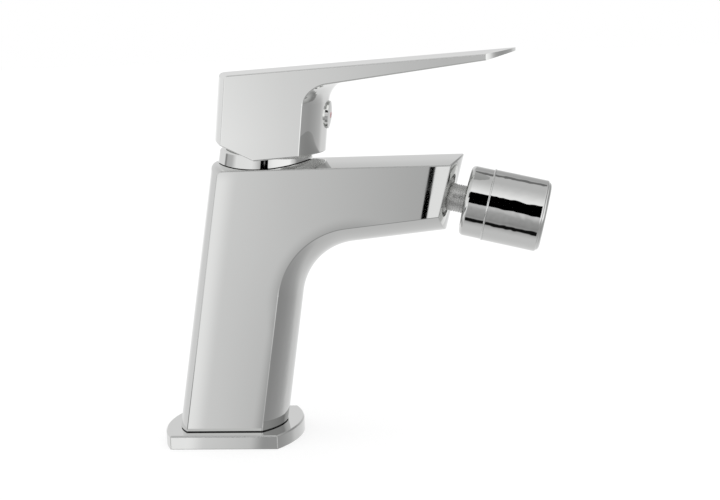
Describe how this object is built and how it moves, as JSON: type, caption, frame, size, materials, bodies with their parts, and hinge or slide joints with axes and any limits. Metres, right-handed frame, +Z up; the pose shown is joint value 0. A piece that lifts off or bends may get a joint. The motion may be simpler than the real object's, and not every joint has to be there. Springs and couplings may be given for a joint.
{
  "type": "bidet mixer",
  "caption": "Single-lever bidet mixer with a flat lever, a leaning column and a swivelling aerator on the spout.",
  "frame": {"origin": "centre of the base plate's underside, on the axis of the tap hole", "axes": "+X along the spout towards the user, +Z up, XZ is the plane of symmetry"},
  "size_m": [0.155, 0.0502, 0.1507],
  "materials": {
    "chrome_body": "polished chrome plating on cast brass",
    "chrome_handle": "polished chrome plating on cast zinc",
    "chrome_cover": "polished chrome plating on turned brass",
    "chrome_outlet": "polished chrome plating on turned brass",
    "brass": "machined",
    "steel": "machined stainless steel",
    "seal_rubber": "moulded",
    "cartridge_plastic": "moulded",
    "ceramic_disc": null,
    "joint_plastic": "moulded acetal",
    "insert_plastic": "moulded acetal",
    "plug_plastic": "chrome-plated plastic",
    "red_mark": "moulded",
    "blue_mark": "moulded"
  },
  "bodies": {
    "fixed": {"base_plate": "chrome_body", "base_seal": "seal_rubber", "body_gasket": "seal_rubber", "body_casting": "chrome_body", "port_seals": "seal_rubber", "cartridge_base": "cartridge_plastic", "cartridge_housing": "cartridge_plastic", "fixed_disc": "ceramic_disc", "clamp_nut": "brass", "cover_ring": "seal_rubber", "dome_cover": "chrome_cover", "ball_nipple": "chrome_outlet", "nipple_seal": "seal_rubber"},
    "turret": {"turret": "cartridge_plastic", "turret_seal": "seal_rubber", "stem_pin": "steel"},
    "lever": {"stem": "brass", "handle": "chrome_handle", "grub_screw": "steel", "index_plug": "plug_plastic", "hot_mark": "red_mark", "cold_mark": "blue_mark"},
    "disc": {"moving_disc": "ceramic_disc", "disc_carrier": "cartridge_plastic"},
    "seat": {"ball_seat_ring": "joint_plastic"},
    "cup": {"pressure_cup": "joint_plastic", "cup_seal": "seal_rubber"},
    "head": {"swivel_socket": "chrome_outlet", "aerator_shell": "chrome_outlet", "aerator_gasket": "seal_rubber", "aerator_insert": "insert_plastic", "inlet_screen": "steel"}
  },
  "joints": [
    {"name": "handle_turn", "type": "hinge", "parent": "fixed", "child": "turret", "pos_m": [0.01685, 0, 0.1079], "axis": [0.1132, 0, 0.9936], "range_deg": [-45, 45]},
    {"name": "handle_lift", "type": "hinge", "parent": "turret", "child": "lever", "pos_m": [0.01634, 0, 0.10343], "axis": [0, -1, 0], "range_deg": [0, 25]},
    {"name": "disc_slide", "type": "slide", "parent": "turret", "child": "disc", "axis": [0.9936, 0, -0.1132], "range_m": [0, 0.00273]},
    {"name": "outlet_pitch", "type": "hinge", "parent": "fixed", "child": "seat", "pos_m": [0.1028, 0, 0.09075], "axis": [0, 1, 0], "range_deg": [-14, 14]},
    {"name": "outlet_yaw", "type": "hinge", "parent": "seat", "child": "cup", "pos_m": [0.1028, 0, 0.09075], "axis": [0.2351, 0, 0.972], "range_deg": [-14, 14]},
    {"name": "outlet_spin", "type": "hinge", "parent": "cup", "child": "head", "pos_m": [0.1028, 0, 0.09075], "axis": [0.972, 0, -0.2351], "continuous": true}
  ],
  "couplings": [
    {"joint": "disc_slide", "follows": "handle_lift", "m_per_rad": 0.00625}
  ]
}
